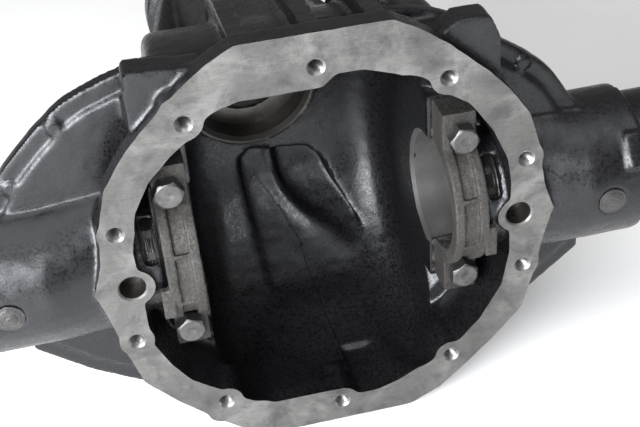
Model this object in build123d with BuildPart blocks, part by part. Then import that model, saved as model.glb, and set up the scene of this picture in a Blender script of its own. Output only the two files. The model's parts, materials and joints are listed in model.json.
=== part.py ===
"""Centre housing assembly of a light-truck drive axle: one iron casting with two pressed-in axle tubes,
two side bearing caps with their bolts and ring dowels, two threaded adjusters, a fill plug and a vent.

Millimetres. +X runs along the axle to the right, +Y from the cover opening towards the pinion nose and +Z up.
The origin is the centre of the machined cover face, so the axle axis is AXLE_Y behind it."""

import os
from math import cos, radians, sin

from build123d import *

os.makedirs("parts", exist_ok=True)

# Where the axle axis lies behind the cover face
AXLE_Y = 40.0

# Cover flange
FLANGE_T = 14.0
COVER_HOLES = [(0, 120), (72.5, 100), (118.5, 38.4), (118.5, -38.4), (72.5, -100), (0, -120)]
COVER_HOLE_R = 4.0
COVER_HOLE_DEPTH = 22.0
COVER_BOSS_R = 10.5
SPREADER_X = 115.0
SPREADER_HOLE_R = 7.65
SPREADER_BOSS_R = 12.5

# Barrel round the ring gear, and the bowl between it and the flange
WALL = 9.0
BARREL_IN_R = 113.0
BARREL_R = BARREL_IN_R + WALL
BARREL_LEFT = -85.0
BARREL_RIGHT = 80.0
BARREL_EDGE_R = 8.0
CAVITY_CORNER_R = 25.0
BOWL_IN_R = 109.0
BOWL_BACK_Y = 52.0

# Side bearing seats
BORE_R = 36.7
SEAT_IN = 71.0
SEAT_OUT = 95.0
SEAT_HALF = 66.0
CAP_BOLT_X = 86.0
CAP_BOLT_Z = 49.0
CAP_BOLT_R = 5.5
CAP_BOLT_HOLE_DEEP = 38.0
THREAD_GAP = 0.05

# Bearing caps
CAP_IN = 74.5
CAP_WIDE = 20.5
CAP_HALF = 64.0
CAP_PAD_T = 20.0
CAP_R = 46.0
CAP_CHANNEL_W = 9.0
CAP_CHANNEL_DEEP = 2.5
CAP_HOLE_R = 6.0
DOWEL_R = 7.5
DOWEL_HALF = 4.5
DOWEL_GAP = 0.05
BOLT_FLATS = 16.0
BOLT_FACE_R = 8.2
BOLT_FACE_T = 1.2
BOLT_HEAD_T = 7.3
BOLT_LONG = 54.0

# Towers that hold the threaded adjusters
TOWER_R = 38.5
TOWER_IN = 96.5
TOWER_OUT = 122.0
TOWER_BLOCK_DEEP = 24.0
ADJUSTER_THREAD_R = 34.0
THREAD_END = 107.0
ADJUSTER_IN = 97.0
ADJUSTER_WIDE = 9.5
ADJUSTER_BORE_R = 27.0
ADJUSTER_NOTCHES = 16
NOTCH_LONG = 6.0
NOTCH_WIDE = 5.0
NOTCH_BAND = 5.0
WINDOW_X = 102.0
WINDOW_ANGLE = 38.0
WINDOW_LONG = 28.0
WINDOW_WIDE = 8.0

# Tube bosses and tubes
BOSS_R = 46.0
BOSS_FLAT_X = 112.0
BOSS_FLAT_HALF = (31.0, 53.0)
BOSS_ROOT_X = 70.0
BOSS_ROOT_Y = 104.0
BOSS_ROUND_X = 160.0
BOSS_END = {"left": 206.0, "right": 195.0}
PAD_X = 182.0
PAD_LONG = 11.0
PAD_WIDE = 22.0
PAD_PROUD = 2.5
PAD_ANGLE = 143
PLUG_X = {"left": 184.0, "right": 172.0}
TUBE_R = 40.0
TUBE_WALL = 6.5
TUBE_START = 150.0
TUBE_END = 285.0
TUBE_BEVEL = 3.0
SHAFT_PASSAGE_R = 24.0
PLUG_WELD_R = 8.0
PLUG_WELD_PROUD = 0.6
PLUG_ANGLES = (180, 0, 270)

# Web plates between the barrel and the bosses
WEB_FRONT = 29.0
WEB_T = 12.0
WEB_RIM = 11.0
WEB_RIM_STEP = 3.0
WEB_CURVE_R = 55.0
WEB_BUMP_R = 4.0
WEB_BUMP_HIGH = 2.0

# Pinion nose
PINION_X = -20.0
PINION_Z = 38.5
PINION_SEAT_Y = 143.0
PINION_MOUTH_Y = 118.0
PINION_MOUTH_R = 43.0
PINION_SEAT_R = 41.3
PINION_SEAT_DEEP = 19.0
PINION_BARE_R = 29.0
GALLERY_Y = (172.0, 226.0)
GALLERY_R = 38.0
PINION_FRONT_Y = 236.0
PINION_FRONT_R = 34.1
SEAL_Y = 258.0
SEAL_R = 38.0
NOSE_END = 272.0
NOSE_RING_R = 53.0
NOSE_RING_T = 18.0
NOSE_R = 45.0
NOSE_ROOT_Y = 66.0
NOSE_ROOT = (-2.5, 22.0, 81.0, 96.0)
NOSE_NECK_Y = 200.0
NOSE_NECK_R = 55.0

# Fill plug and vent
FILL_X = 57.0
FILL_Z = 46.0
FILL_R = 11.0
FILL_BOSS_R = 18.0
FILL_BOSS_ROOT_Y = 120.0
FILL_FACE_Y = 166.0
FILL_PLUG_LONG = 20.0
FILL_COLLAR_R = 15.0
FILL_COLLAR_T = 3.0
FILL_FLATS = 22.0
FILL_HEX_T = 8.0
VENT_X = 60.0
VENT_Y = 92.0
VENT_STEM_R = 4.5
VENT_SEAT_Z = 118.0
VENT_BOSS_R = 11.0
GASKET_T = 1.5

SIDES = {"left": -1, "right": 1}


def front_plane(y):
    """A plane square to the pinion axis at depth y, looking out of the cover opening."""
    return Plane.XZ.offset(-y)


def side_plane(x):
    """A plane square to the axle at x."""
    return Plane.YZ.offset(x)


def behind_axle(outline, radius, margin=0):
    """Prism behind the barrel's middle with an outline in X and Z, ended by a cylinder round the axle."""
    with BuildPart() as prism:
        with BuildSketch(front_plane(AXLE_Y + 20)):
            with BuildLine():
                Polyline(*outline, close=True)
            make_face()
            if margin:
                offset(amount=margin)
        extrude(amount=-radius)
        with BuildSketch(side_plane(-100)):
            with Locations((AXLE_Y, 0)):
                Circle(radius)
        extrude(amount=200, mode=Mode.INTERSECT)
    return prism.part


# ---------------------------------------------------------------- centre housing
FLANGE_HALF = [
    (42, 140), (57, 132), (72, 121), (96, 99), (107, 87), (120, 68), (126, 47), (130, 20), (136, 0),
    (131, -20), (126, -45), (119, -71), (101, -92), (80, -112), (64, -126), (45, -135),
]
OPENING = [
    (3, 107.5), (10, 114), (25, 114), (43, 108), (61, 97), (84, 82), (98, 62), (107, 41), (109.5, 25),
    (109.5, -28), (105, -51), (91, -75), (79, -88), (60, -100), (38, -112), (24, -116.5), (11, -116.5),
    (3, -109.5), (-43, -109), (-62, -99), (-91, -77), (-101, -62), (-110, -42), (-111, 25), (-106, 50),
    (-96, 68), (-82, 82), (-62, 97), (-45, 107.5),
]
WEB_OUTLINE = [
    (0, 118), (54, 131), (85, 120), (114, 99), (130, 88), (145, 75), (157, 56), (165, 45), (190, 44),
    (190, -43), (174, -54), (158, -68), (136, -86), (110, -101), (0, -113), (-90, -110), (-122, -98),
    (-150, -81), (-177, -59), (-196, -44), (-200, 44), (-187, 50), (-173, 71), (-155, 89), (-134, 107),
    (-110, 116), (-86, 123),
]
WEB_BUMPS = [(127, 83), (-140, 93), (-170, 60)]

# Oil recess in the back wall, seen along Y: a shallow window whose upper right part is deeper
RECESS = [
    (-30, -23), (-22, -18), (17, -23), (27, -33), (36, -56), (47, -79), (45, -93), (37, -104), (-25, -105),
    (-26, -89), (-29, -58), (-31, -32),
]
RECESS_POCKET = [
    (-6, -20), (17, -23), (27, -33), (36, -56), (46, -78), (38, -90), (20, -75), (8, -64), (-1, -52),
    (-5, -40),
]
RECESS_DEEP = 8.0
POCKET_DEEP = 14.0
BLISTER_WALL = 8.0

RIB_X = (-37, 2, 38)
RIB_WIDE = 11.0
RIB_PROFILE = [(10, 100), (10, 137), (75, 131), (125, 118), (125, 95)]
EAR_FRONT = 9.0
EAR_T = 18.0
EAR_LEFT = [(-102, 92), (-100, 130), (-56, 126), (-54, 104)]
EAR_RIGHT = [(70, 106), (72, 122), (82, 128.5), (99, 128), (105, 115), (106, 80)]


def web_plates():
    """Plate either side of the barrel, stepped back along its rim."""
    with BuildPart() as webs:
        with BuildSketch(front_plane(WEB_FRONT)) as outline:
            with BuildLine():
                Polyline(*WEB_OUTLINE, close=True)
            make_face()
            fillet(outline.vertices().filter_by(lambda v: abs(v.Y) > BOSS_R + 6), radius=WEB_CURVE_R)
        extrude(amount=-WEB_T)
        with BuildSketch(front_plane(WEB_FRONT)):
            add(outline.sketch)
            offset(outline.sketch, amount=-WEB_RIM, mode=Mode.SUBTRACT)
        extrude(amount=-WEB_RIM_STEP, mode=Mode.SUBTRACT)
    return webs.part


with BuildPart() as center_housing:
    # Barrel, with rounded shoulders
    with BuildSketch(side_plane(BARREL_LEFT)):
        with Locations((AXLE_Y, 0)):
            Circle(BARREL_R)
    extrude(amount=BARREL_RIGHT - BARREL_LEFT)
    fillet(center_housing.edges().filter_by(GeomType.CIRCLE), radius=BARREL_EDGE_R)

    # Bowl that carries the flange: it has the opening's outline, and closes in behind
    with BuildSketch(front_plane(4)) as bowl_outline:
        with BuildLine():
            Polyline(*OPENING, close=True)
        make_face()
        fillet(bowl_outline.vertices(), radius=5)
        offset(amount=WALL)
    extrude(amount=4 - BOWL_BACK_Y)
    with BuildSketch(Plane.XY):
        Polygon((0, 26), (118, 26), (118, BOWL_BACK_Y), (100, 66), (84, 82), (60, 95), (0, 95), align=None)
    revolve(axis=Axis.Y)

    add(web_plates())

    # Tube bosses: round at the tube, flattened under the flange, and coned into the barrel behind
    for side, sign in SIDES.items():
        with BuildSketch(side_plane(sign * BOSS_FLAT_X)):
            with Locations((AXLE_Y, 0)):
                Ellipse(*BOSS_FLAT_HALF)
        with BuildSketch(side_plane(sign * BOSS_ROUND_X)):
            with Locations((AXLE_Y, 0)):
                Circle(BOSS_R)
        loft()
        for way in (1, -1):
            with BuildSketch(Plane.XY):
                Polygon(
                    (sign * BOSS_ROOT_X, AXLE_Y), (sign * BOSS_ROOT_X, BOSS_ROOT_Y),
                    (sign * BOSS_ROUND_X, AXLE_Y + BOSS_R), (sign * BOSS_ROUND_X, AXLE_Y), align=None
                )
            revolve(axis=Axis((0, AXLE_Y, 0), (way * sign, 0, 0)), revolution_arc=90)
        with BuildSketch(side_plane(sign * BOSS_ROUND_X)):
            with Locations((AXLE_Y, 0)):
                Circle(BOSS_R)
        extrude(amount=sign * (BOSS_END[side] - BOSS_ROUND_X))

    # Pinion nose: it widens into the back of the barrel, and ends in a ring
    x, z, half_x, half_z = NOSE_ROOT
    with BuildSketch(front_plane(NOSE_ROOT_Y)):
        with Locations((x, z)):
            Ellipse(half_x, half_z)
    with BuildSketch(front_plane(NOSE_NECK_Y)):
        with Locations((PINION_X, PINION_Z)):
            Circle(NOSE_NECK_R)
    loft()
    with BuildSketch(Plane.XY.offset(PINION_Z)):
        with Locations((PINION_X, 0)):
            Polygon(
                (0, NOSE_NECK_Y), (NOSE_NECK_R, NOSE_NECK_Y), (NOSE_R, NOSE_END - 22),
                (NOSE_RING_R, NOSE_END - NOSE_RING_T), (NOSE_RING_R, NOSE_END), (0, NOSE_END), align=None
            )
    revolve(axis=Axis((PINION_X, 0, PINION_Z), (0, 1, 0)))

    # Four ribs along the nose
    for angle in (45, 135, 225, 315):
        rib_plane = Plane(
            (PINION_X, 0, PINION_Z),
            x_dir=(cos(radians(angle)), 0, sin(radians(angle))),
            z_dir=(-sin(radians(angle)), 0, cos(radians(angle))),
        )
        with BuildSketch(rib_plane):
            Polygon((30, 120), (78, 120), (68, 170), (50, 250), (30, 250), align=None)
        extrude(amount=4, both=True)

    # Outer blister over the oil recess in the back wall
    add(behind_axle(RECESS, BARREL_IN_R + POCKET_DEEP + BLISTER_WALL, BLISTER_WALL))

    # Everything ahead of the cover face is machined away
    with BuildSketch(front_plane(0)):
        Rectangle(2 * 137, 400)
    extrude(amount=BARREL_R, mode=Mode.SUBTRACT)

    # Flange plate
    with BuildSketch(front_plane(0)) as flange:
        with BuildLine():
            left_half = [(-x, z) for x, z in reversed(FLANGE_HALF)]
            Polyline(*FLANGE_HALF, *left_half, close=True)
        make_face()
        fillet(flange.vertices(), radius=9)
    extrude(amount=-FLANGE_T)

    # Locating ears at the flange's upper corners
    for outline in (EAR_LEFT, EAR_RIGHT):
        with BuildSketch(front_plane(EAR_FRONT)) as ear:
            with BuildLine():
                Polyline(*outline, close=True)
            make_face()
            fillet(ear.vertices(), radius=4)
        extrude(amount=-EAR_T)

    # Ribs from the flange's top edge back over the barrel
    for x in RIB_X:
        with BuildSketch(side_plane(x - RIB_WIDE / 2)):
            Polygon(*RIB_PROFILE, align=None)
        extrude(amount=RIB_WIDE)

    # Fill plug boss
    with BuildSketch(front_plane(FILL_BOSS_ROOT_Y)):
        with Locations((FILL_X, FILL_Z)):
            Circle(FILL_BOSS_R)
    extrude(amount=FILL_BOSS_ROOT_Y - FILL_FACE_Y)

    # Room for a wrench round the fill plug
    with BuildSketch(front_plane(FILL_FACE_Y)):
        with Locations((FILL_X, FILL_Z)):
            Circle(FILL_BOSS_R)
    extrude(amount=-2 * FILL_BOSS_R, mode=Mode.SUBTRACT)

    # Vent boss
    with BuildSketch(Plane.XY.offset(VENT_SEAT_Z)):
        with Locations((VENT_X, VENT_Y)):
            Circle(VENT_BOSS_R)
    extrude(amount=-20)

    # Pad on the right boss and the small bumps on the web rims
    with BuildSketch(side_plane(PAD_X)):
        with Locations(Location((AXLE_Y, 0), PAD_ANGLE)):
            Rectangle(BOSS_R + PAD_PROUD, PAD_WIDE, align=(Align.MIN, Align.CENTER))
    extrude(amount=PAD_LONG)
    with BuildSketch(front_plane(WEB_FRONT + WEB_RIM_STEP)):
        with Locations(WEB_BUMPS):
            Circle(WEB_BUMP_R)
    extrude(amount=WEB_BUMP_HIGH)

    # Cavity: the opening through the flange, the bowl behind it, then the barrel
    with BuildSketch(front_plane(0)) as opening:
        with BuildLine():
            Polyline(*OPENING, close=True)
        make_face()
        fillet(opening.vertices(), radius=5)
    extrude(amount=WALL - BOWL_BACK_Y, mode=Mode.SUBTRACT)
    with BuildSketch(Plane.XY):
        Polygon(
            (0, FLANGE_T), (BOWL_IN_R, FLANGE_T), (BOWL_IN_R, 42), (94, 58), (76, 74), (0, 74), align=None
        )
    revolve(axis=Axis.Y, mode=Mode.SUBTRACT)
    with BuildSketch(Plane.XY) as barrel_half:
        with Locations((0, AXLE_Y)):
            Rectangle(2 * SEAT_IN, BARREL_IN_R, align=(Align.CENTER, Align.MIN))
        fillet(barrel_half.vertices().group_by(Axis.Y)[-1], radius=CAVITY_CORNER_R)
    revolve(axis=Axis((0, AXLE_Y, 0), (1, 0, 0)), mode=Mode.SUBTRACT)

    # The oil recess in the back wall
    add(behind_axle(RECESS, BARREL_IN_R + RECESS_DEEP), mode=Mode.SUBTRACT)
    add(behind_axle(RECESS_POCKET, BARREL_IN_R + POCKET_DEEP), mode=Mode.SUBTRACT)

    # Bearing seats: a wall from the parting face back to the barrel, then the adjuster tower
    for sign in SIDES.values():
        with BuildSketch(Plane.XY):
            Polygon(
                (sign * SEAT_IN, AXLE_Y), (sign * SEAT_IN, 76), (sign * 84, 76), (sign * SEAT_OUT, 62),
                (sign * SEAT_OUT, AXLE_Y), align=None
            )
        extrude(amount=SEAT_HALF, both=True)
        with BuildSketch(side_plane(sign * TOWER_IN)):
            with Locations((AXLE_Y, 0)):
                Circle(TOWER_R)
        extrude(amount=sign * (TOWER_OUT - TOWER_IN))
        with BuildSketch(side_plane(sign * SEAT_OUT)):
            with Locations((AXLE_Y, 0)):
                Rectangle(TOWER_BLOCK_DEEP, 2 * TOWER_R, align=(Align.MIN, Align.CENTER))
        extrude(amount=sign * (TOWER_IN - SEAT_OUT))

    # Flat seat face round the pinion's rear bore
    with BuildSketch(front_plane(PINION_SEAT_Y)):
        with Locations((PINION_X, PINION_Z)):
            Circle(PINION_SEAT_R + 6)
    extrude(amount=-18)

    # Bosses behind the flange holes
    with BuildSketch(front_plane(0)):
        with Locations(COVER_HOLES, [(-x, z) for x, z in COVER_HOLES if x]):
            Circle(COVER_BOSS_R)
        with Locations((SPREADER_X, 0), (-SPREADER_X, 0)):
            Circle(SPREADER_BOSS_R)
    extrude(amount=-COVER_HOLE_DEPTH - 4)

    # Bores on the axle axis
    for side, sign in SIDES.items():
        for start, end, radius in (
            (SEAT_IN, SEAT_OUT, BORE_R),
            (SEAT_OUT, THREAD_END, ADJUSTER_THREAD_R),
            (THREAD_END, TUBE_START, SHAFT_PASSAGE_R),
            (TUBE_START, BOSS_END[side], TUBE_R),
        ):
            with BuildSketch(side_plane(sign * start)):
                with Locations((AXLE_Y, 0)):
                    Circle(radius)
            extrude(amount=sign * (end - start), mode=Mode.SUBTRACT)

    # Windows that let a tool reach the adjusters
    for sign in SIDES.values():
        out = (0, -cos(radians(WINDOW_ANGLE)), sin(radians(WINDOW_ANGLE)))
        window_plane = Plane(
            (sign * WINDOW_X, AXLE_Y + 48 * out[1], 48 * out[2]),
            x_dir=(0, out[2], -out[1]),
            z_dir=out,
        )
        with BuildSketch(window_plane):
            SlotOverall(WINDOW_LONG, WINDOW_WIDE)
        extrude(amount=-22, mode=Mode.SUBTRACT)

    # Pinion bores
    for start, end, radius in (
        (PINION_MOUTH_Y, PINION_SEAT_Y, PINION_MOUTH_R),
        (PINION_SEAT_Y, PINION_SEAT_Y + PINION_SEAT_DEEP, PINION_SEAT_R),
        (PINION_SEAT_Y + PINION_SEAT_DEEP, PINION_FRONT_Y, PINION_BARE_R),
        (*GALLERY_Y, GALLERY_R),
        (PINION_FRONT_Y, SEAL_Y, PINION_FRONT_R),
        (SEAL_Y, NOSE_END, SEAL_R),
    ):
        with BuildSketch(front_plane(start)):
            with Locations((PINION_X, PINION_Z)):
                Circle(radius)
        extrude(amount=start - end, mode=Mode.SUBTRACT)

    # Cover bolt holes and spreader holes
    with BuildSketch(front_plane(0)):
        with Locations(COVER_HOLES, [(-x, z) for x, z in COVER_HOLES if x]):
            Circle(COVER_HOLE_R)
    extrude(amount=-COVER_HOLE_DEPTH, mode=Mode.SUBTRACT)
    with BuildSketch(front_plane(0)):
        with Locations((SPREADER_X, 0), (-SPREADER_X, 0)):
            Circle(SPREADER_HOLE_R)
    extrude(amount=-FLANGE_T, mode=Mode.SUBTRACT)

    # Cap bolt holes with a counterbore for each ring dowel
    with BuildSketch(front_plane(AXLE_Y)):
        with GridLocations(2 * CAP_BOLT_X, 2 * CAP_BOLT_Z, 2, 2):
            Circle(CAP_BOLT_R + THREAD_GAP)
    extrude(amount=-CAP_BOLT_HOLE_DEEP, mode=Mode.SUBTRACT)
    with BuildSketch(front_plane(AXLE_Y)):
        with GridLocations(2 * CAP_BOLT_X, 2 * CAP_BOLT_Z, 2, 2):
            Circle(DOWEL_R)
    extrude(amount=-DOWEL_HALF, mode=Mode.SUBTRACT)

    # Fill and vent holes, and the plug weld holes through the bosses
    with BuildSketch(front_plane(FILL_BOSS_ROOT_Y)):
        with Locations((FILL_X, FILL_Z)):
            Circle(FILL_R + THREAD_GAP)
    extrude(amount=FILL_BOSS_ROOT_Y - FILL_FACE_Y, mode=Mode.SUBTRACT)
    with BuildSketch(Plane.XY.offset(VENT_SEAT_Z)):
        with Locations((VENT_X, VENT_Y)):
            Circle(VENT_STEM_R)
    extrude(amount=-30, mode=Mode.SUBTRACT)
    for side, sign in SIDES.items():
        for angle in PLUG_ANGLES:
            out = (0, cos(radians(angle)), sin(radians(angle)))
            weld_plane = Plane((sign * PLUG_X[side], AXLE_Y, 0), x_dir=(1, 0, 0), z_dir=out)
            with BuildSketch(weld_plane.offset(TUBE_R - 3)):
                Circle(PLUG_WELD_R)
            extrude(amount=BOSS_R, mode=Mode.SUBTRACT)

center_housing.part.label = "center_housing"
export_step(center_housing.part, "parts/center_housing.step")


# ---------------------------------------------------------------- bearing caps and their ring dowels
def bearing_cap(sign):
    """Arched cap on pads, with two rails and a ribbed channel along its crown. Its seat face is at AXLE_Y."""
    with BuildPart() as cap:
        with BuildSketch(side_plane(sign * CAP_IN)) as side_face:
            with Locations((AXLE_Y - CAP_PAD_T, 0)):
                Rectangle(CAP_PAD_T, 2 * CAP_HALF, align=(Align.MIN, Align.CENTER))
            with Locations((AXLE_Y, 0)):
                Circle(CAP_R)
            with Locations((AXLE_Y, 0)):
                Rectangle(100, 200, align=(Align.MIN, Align.CENTER), mode=Mode.SUBTRACT)
            corners = side_face.vertices().filter_by(lambda v: abs(v.Y) < CAP_HALF - 1 and v.X < AXLE_Y - 1)
            fillet(corners, radius=6)
        extrude(amount=sign * CAP_WIDE)
        with BuildSketch(side_plane(sign * (CAP_IN + CAP_WIDE / 2))):
            with Locations((AXLE_Y, 0)):
                Circle(CAP_R + 1)
                Circle(CAP_R - CAP_CHANNEL_DEEP, mode=Mode.SUBTRACT)
                Rectangle(100, 200, align=(Align.MIN, Align.CENTER), mode=Mode.SUBTRACT)
                for angle in (180 - 22, 180 + 20):
                    with Locations(Location((0, 0), angle)):
                        Rectangle(CAP_R + 2, 2.5, align=(Align.MIN, Align.CENTER), mode=Mode.SUBTRACT)
        extrude(amount=CAP_CHANNEL_W / 2, both=True, mode=Mode.SUBTRACT)
        with BuildSketch(front_plane(AXLE_Y - CAP_R + 1)):
            with Locations((sign * (CAP_IN + CAP_WIDE + 1.5), -13)):
                Rectangle(7, 20)
        extrude(amount=-4.5)
        with BuildSketch(front_plane(AXLE_Y - CAP_PAD_T)):
            with Locations((sign * CAP_BOLT_X, CAP_BOLT_Z), (sign * CAP_BOLT_X, -CAP_BOLT_Z)):
                Circle(BOLT_FACE_R + 1)
        extrude(amount=CAP_R, mode=Mode.SUBTRACT)
        with BuildSketch(side_plane(0)):
            with Locations((AXLE_Y, 0)):
                Circle(BORE_R)
        extrude(amount=sign * 120, mode=Mode.SUBTRACT)
        with BuildSketch(front_plane(AXLE_Y)):
            with Locations((sign * CAP_BOLT_X, CAP_BOLT_Z), (sign * CAP_BOLT_X, -CAP_BOLT_Z)):
                Circle(CAP_HOLE_R)
        extrude(amount=CAP_R, mode=Mode.SUBTRACT)
        with BuildSketch(front_plane(AXLE_Y)):
            with Locations((sign * CAP_BOLT_X, CAP_BOLT_Z), (sign * CAP_BOLT_X, -CAP_BOLT_Z)):
                Circle(DOWEL_R + DOWEL_GAP)
        extrude(amount=DOWEL_HALF + 0.5, mode=Mode.SUBTRACT)
    return cap.part


def cap_dowels(sign):
    """Two short ring dowels round the bolts, half in the housing and half in the cap."""
    with BuildPart() as dowels:
        with BuildSketch(front_plane(AXLE_Y + DOWEL_HALF)):
            with Locations((sign * CAP_BOLT_X, CAP_BOLT_Z), (sign * CAP_BOLT_X, -CAP_BOLT_Z)):
                Circle(DOWEL_R)
                Circle(CAP_HOLE_R, mode=Mode.SUBTRACT)
        extrude(amount=2 * DOWEL_HALF)
    return dowels.part


# ---------------------------------------------------------------- cap bolts
def cap_bolt(x, z):
    """Hex cap screw that clamps one foot of a bearing cap."""
    seat_y = AXLE_Y - CAP_PAD_T
    with BuildPart() as bolt:
        with BuildSketch(front_plane(seat_y)):
            with Locations((x, z)):
                Circle(BOLT_FACE_R)
        extrude(amount=BOLT_FACE_T)
        with BuildSketch(front_plane(seat_y - BOLT_FACE_T)):
            with Locations((x, z)):
                RegularPolygon(BOLT_FLATS / 2, 6, major_radius=False, rotation=30)
        extrude(amount=BOLT_HEAD_T)
        chamfer(bolt.faces().sort_by(Axis.Y)[0].edges(), length=0.8)
        with BuildSketch(front_plane(seat_y)):
            with Locations((x, z)):
                Circle(CAP_BOLT_R)
        extrude(amount=-BOLT_LONG)
        chamfer(bolt.faces().sort_by(Axis.Y)[-1].edges(), length=1)
    return bolt.part


# ---------------------------------------------------------------- bearing adjusters
def bearing_adjuster(sign):
    """Threaded ring with a band of notches round its rim, turned through the window in its tower."""
    with BuildPart() as ring:
        with BuildSketch(side_plane(sign * ADJUSTER_IN)):
            with Locations((AXLE_Y, 0)):
                Circle(ADJUSTER_THREAD_R - THREAD_GAP)
                Circle(ADJUSTER_BORE_R, mode=Mode.SUBTRACT)
        extrude(amount=sign * ADJUSTER_WIDE)
        with BuildSketch(side_plane(sign * (ADJUSTER_IN + ADJUSTER_WIDE / 2))):
            with Locations((AXLE_Y, 0)):
                with PolarLocations(ADJUSTER_THREAD_R, ADJUSTER_NOTCHES):
                    Rectangle(NOTCH_LONG, NOTCH_WIDE)
        extrude(amount=NOTCH_BAND / 2, both=True, mode=Mode.SUBTRACT)
    return ring.part


# ---------------------------------------------------------------- axle tubes and their plug welds
def axle_tube(sign):
    """Tube pressed into a boss, with a bevel on its open end for welding."""
    with BuildPart() as tube:
        with BuildSketch(side_plane(sign * TUBE_START)):
            with Locations((AXLE_Y, 0)):
                Circle(TUBE_R)
                Circle(TUBE_R - TUBE_WALL, mode=Mode.SUBTRACT)
        extrude(amount=sign * (TUBE_END - TUBE_START))
        outer_face = tube.faces().filter_by(Axis.X).sort_by(lambda f: sign * f.center().X)[-1]
        chamfer(outer_face.edges().sort_by(SortBy.RADIUS)[-1], length=TUBE_BEVEL)
    return tube.part


def plug_welds(side, sign):
    """Three puddle welds that fill the holes in the boss and hold the tube."""
    with BuildPart() as welds:
        for angle in PLUG_ANGLES:
            out = (0, cos(radians(angle)), sin(radians(angle)))
            weld_plane = Plane((sign * PLUG_X[side], AXLE_Y, 0), x_dir=(1, 0, 0), z_dir=out)
            with BuildSketch(weld_plane.offset(TUBE_R - 3)):
                Circle(PLUG_WELD_R)
            extrude(amount=BOSS_R - TUBE_R + 3 + PLUG_WELD_PROUD)
        with BuildSketch(side_plane(sign * (PLUG_X[side] - 20))):
            with Locations((AXLE_Y, 0)):
                Circle(TUBE_R)
        extrude(amount=sign * 40, mode=Mode.SUBTRACT)
    return welds.part


# ---------------------------------------------------------------- fill plug, gasket and vent
def fill_plug():
    """Hex plug on a gasket in the back of the housing."""
    with BuildPart() as plug:
        with BuildSketch(front_plane(FILL_FACE_Y - FILL_PLUG_LONG)):
            with Locations((FILL_X, FILL_Z)):
                Circle(FILL_R)
        extrude(amount=-FILL_PLUG_LONG - GASKET_T)
        with BuildSketch(front_plane(FILL_FACE_Y + GASKET_T)):
            with Locations((FILL_X, FILL_Z)):
                Circle(FILL_COLLAR_R)
        extrude(amount=-FILL_COLLAR_T)
        with BuildSketch(front_plane(FILL_FACE_Y + GASKET_T + FILL_COLLAR_T)):
            with Locations((FILL_X, FILL_Z)):
                RegularPolygon(FILL_FLATS / 2, 6, major_radius=False)
        extrude(amount=-FILL_HEX_T)
        chamfer(plug.faces().sort_by(Axis.Y)[-1].edges(), length=1)
    return plug.part


def fill_gasket():
    """Flat ring under the fill plug's collar."""
    with BuildPart() as gasket:
        with BuildSketch(front_plane(FILL_FACE_Y)):
            with Locations((FILL_X, FILL_Z)):
                Circle(FILL_COLLAR_R - 0.5)
                Circle(FILL_R + 0.4, mode=Mode.SUBTRACT)
        extrude(amount=-GASKET_T)
    return gasket.part


def vent_fitting():
    """Hollow stem pressed into the top of the barrel, with a neck that the cap snaps round."""
    with BuildPart() as fitting:
        with BuildSketch(front_plane(VENT_Y)):
            with Locations((VENT_X, 0)):
                half_section = [
                    (1.5, -12), (VENT_STEM_R, -12), (VENT_STEM_R, 0), (8, 0), (8, 6), (3.5, 6), (3.5, 10),
                    (5, 11), (5, 13), (3.5, 15), (1.5, 15),
                ]
                Polygon(*[(x, VENT_SEAT_Z + z) for x, z in half_section], align=None)
        revolve(axis=Axis((VENT_X, VENT_Y, 0), (0, 0, 1)))
    return fitting.part


def vent_cap():
    """Loose cap over the vent's neck: it lifts by a small play to let air out."""
    base = VENT_SEAT_Z + 7
    with BuildPart() as cap:
        with BuildSketch(front_plane(VENT_Y)):
            with Locations((VENT_X, 0)):
                half_section = [
                    (4.2, 0), (8.5, 0), (8.5, 11), (7.5, 12), (0, 12), (0, 8.5), (5.5, 8.5), (5.5, 2),
                    (4.2, 1.4),
                ]
                Polygon(*[(x, base + z) for x, z in half_section], align=None)
        revolve(axis=Axis((VENT_X, VENT_Y, 0), (0, 0, 1)))
    return cap.part


def write(part, name):
    """Label one finished piece and export it as its own node."""
    part.label = name
    export_step(part, f"parts/{name}.step")


for side, sign in SIDES.items():
    write(bearing_cap(sign), f"{side}_bearing_cap")
    write(cap_dowels(sign), f"{side}_cap_dowels")
    write(cap_bolt(sign * CAP_BOLT_X, CAP_BOLT_Z), f"{side}_cap_bolt_upper")
    write(cap_bolt(sign * CAP_BOLT_X, -CAP_BOLT_Z), f"{side}_cap_bolt_lower")
    write(bearing_adjuster(sign), f"{side}_bearing_adjuster")
    write(axle_tube(sign), f"{side}_axle_tube")
    write(plug_welds(side, sign), f"{side}_tube_plug_welds")
write(fill_plug(), "fill_plug")
write(fill_gasket(), "fill_plug_gasket")
write(vent_fitting(), "vent_fitting")
write(vent_cap(), "vent_cap")
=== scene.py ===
"""Looks of the drive axle centre housing: a cast body with crisp machined faces cut into it, rough cast
bearing caps, threaded bolts and adjusters, painted tubes, and a plain studio.

Lengths are in metres; mm() turns a profile in millimetres into metres."""

import json
import math

import bmesh
import bpy
import numpy as np
from mathutils import Matrix, Vector, noise
from mathutils.bvhtree import BVHTree


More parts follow.
